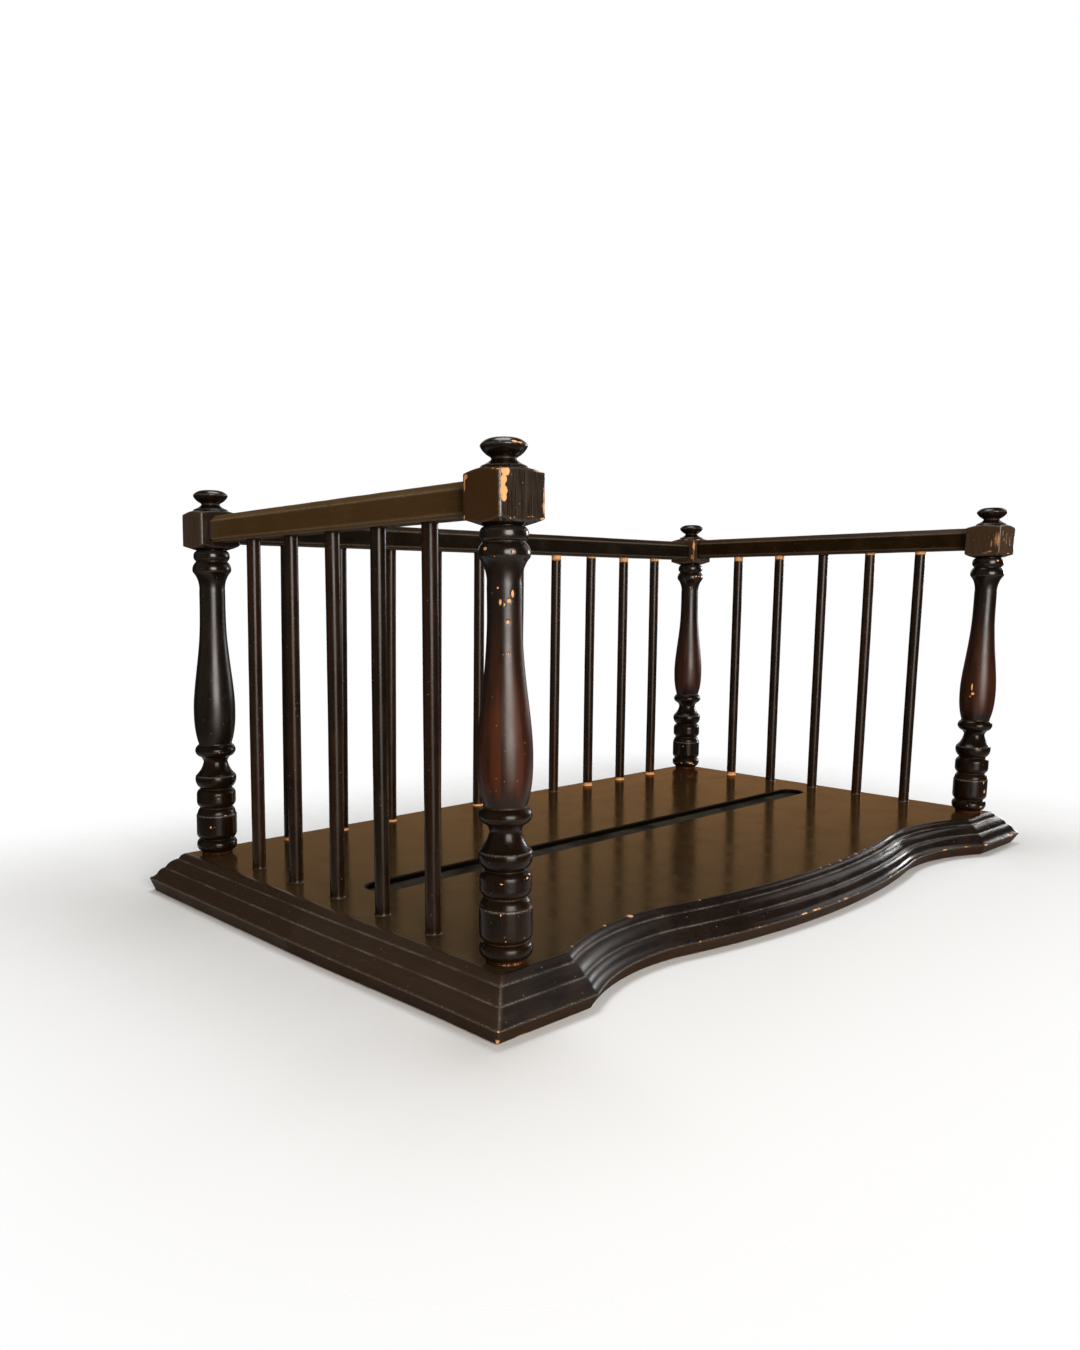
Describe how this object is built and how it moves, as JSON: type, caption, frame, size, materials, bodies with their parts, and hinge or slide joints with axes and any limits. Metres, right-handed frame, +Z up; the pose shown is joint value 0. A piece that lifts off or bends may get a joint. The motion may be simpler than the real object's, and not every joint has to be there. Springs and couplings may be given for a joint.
{
  "type": "gallery book holder",
  "caption": "Table book holder: a moulded board with a serpentine front and a long stop groove, turned corner posts, and a low spindle gallery round three sides.",
  "frame": {"origin": "middle of the board's underside", "axes": "+Z up, +X to the right along the back rail, -Y towards the open serpentine front"},
  "size_m": [0.5352, 0.3292, 0.2542],
  "materials": {
    "board_wood": "worn ebonised lacquer, glossy on top",
    "post_wood": "worn ebonised lacquer, chipped on edges",
    "rail_wood": "worn ebonised lacquer",
    "spindle_wood": "worn ebonised lacquer"
  },
  "bodies": {
    "root": {"base_board": "board_wood", "front_left_post": "post_wood", "front_right_post": "post_wood", "back_left_post": "post_wood", "back_right_post": "post_wood", "left_rail": "rail_wood", "back_rail": "rail_wood", "right_rail": "rail_wood", "left_spindle_1": "spindle_wood", "left_spindle_2": "spindle_wood", "left_spindle_3": "spindle_wood", "left_spindle_4": "spindle_wood", "left_spindle_5": "spindle_wood", "back_spindle_1": "spindle_wood", "back_spindle_2": "spindle_wood", "back_spindle_3": "spindle_wood", "back_spindle_4": "spindle_wood", "back_spindle_5": "spindle_wood", "back_spindle_6": "spindle_wood", "back_spindle_7": "spindle_wood", "back_spindle_8": "spindle_wood", "back_spindle_9": "spindle_wood", "back_spindle_10": "spindle_wood", "right_spindle_1": "spindle_wood", "right_spindle_2": "spindle_wood", "right_spindle_3": "spindle_wood", "right_spindle_4": "spindle_wood", "right_spindle_5": "spindle_wood"}
  },
  "joints": []
}
